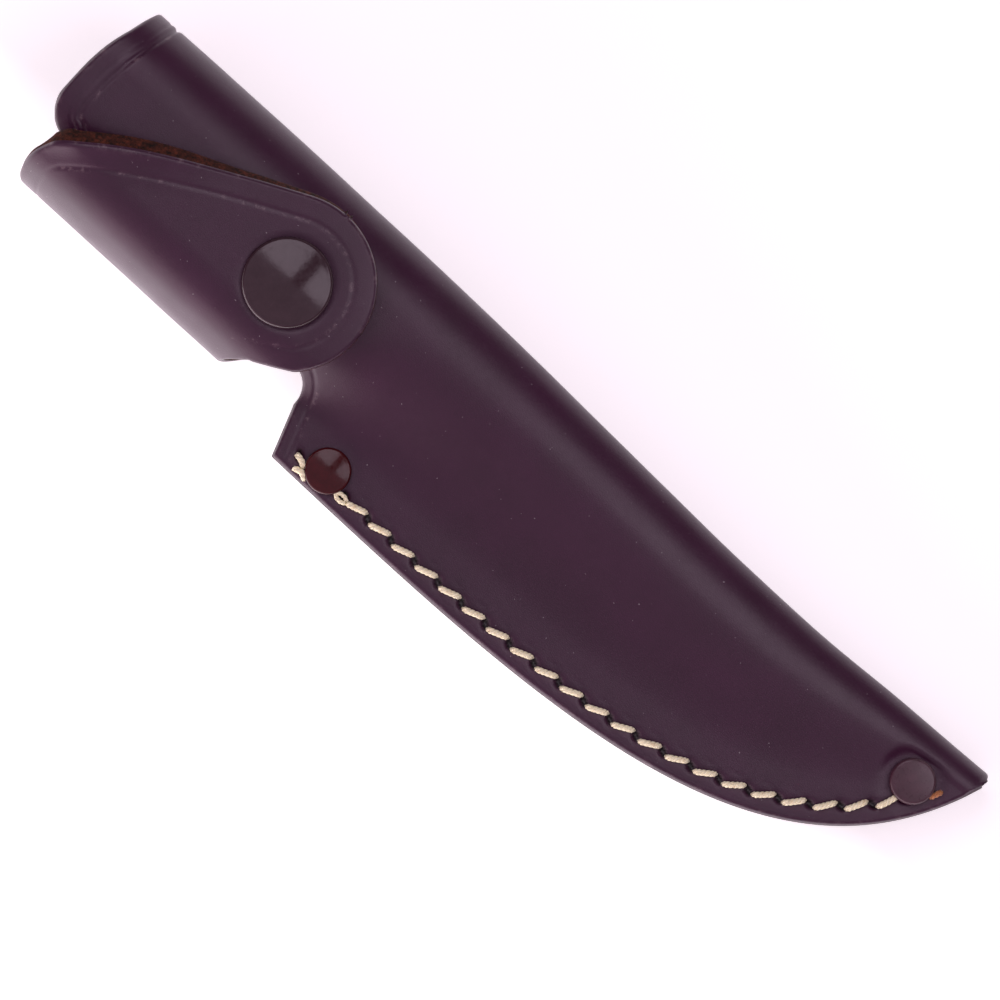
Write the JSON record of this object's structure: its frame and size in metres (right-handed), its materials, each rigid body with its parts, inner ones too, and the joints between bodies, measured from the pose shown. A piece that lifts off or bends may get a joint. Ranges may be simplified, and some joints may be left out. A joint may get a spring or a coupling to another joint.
{
  "type": "knife sheath",
  "caption": "Folded leather belt sheath for a small fixed-blade woodcarving knife, with a press-stud retaining flap, welted and stitched blade edge, rivets and a belt loop on the back.",
  "frame": {"origin": "bottom centre of the sheath's bounding box, lying on its back on the belt loop and the tip rivet", "axes": "+X from the mouth to the tip, +Y towards the spine fold, +Z out of the front face that carries the press stud"},
  "size_m": [0.1896, 0.0418, 0.0324],
  "materials": {
    "leather": "dark aubergine-brown smooth grain leather, waxed semi-gloss",
    "welt_leather": "reddish-brown cut leather edge",
    "thread": "waxed cream-yellow sewing thread",
    "cap_enamel": "glossy dark brown enamel",
    "steel": "dark nickel-plated steel"
  },
  "bodies": {
    "sheath": {"leather_body": "leather", "welt": "welt_leather", "belt_loop": "leather", "seam_needle_thread": "thread", "seam_bobbin_thread": "thread", "belt_loop_upper_needle_thread": "thread", "belt_loop_upper_bobbin_thread": "thread", "belt_loop_lower_needle_thread": "thread", "belt_loop_lower_bobbin_thread": "thread", "throat_rivet_cap": "cap_enamel", "throat_rivet_post": "steel", "tip_rivet_cap": "cap_enamel", "tip_rivet_post": "steel", "snap_stud": "steel", "snap_eyelet": "steel"},
    "flap": {"retaining_flap": "leather", "snap_cap": "cap_enamel", "snap_socket": "steel", "snap_ring_spring": "steel"}
  },
  "joints": [
    {"name": "flap_fold", "type": "hinge", "parent": "sheath", "child": "flap", "pos_m": [-0.09075, -0.01155, 0.02782], "axis": [0.9997, 0, -0.0235], "range_deg": [0, 150]}
  ]
}
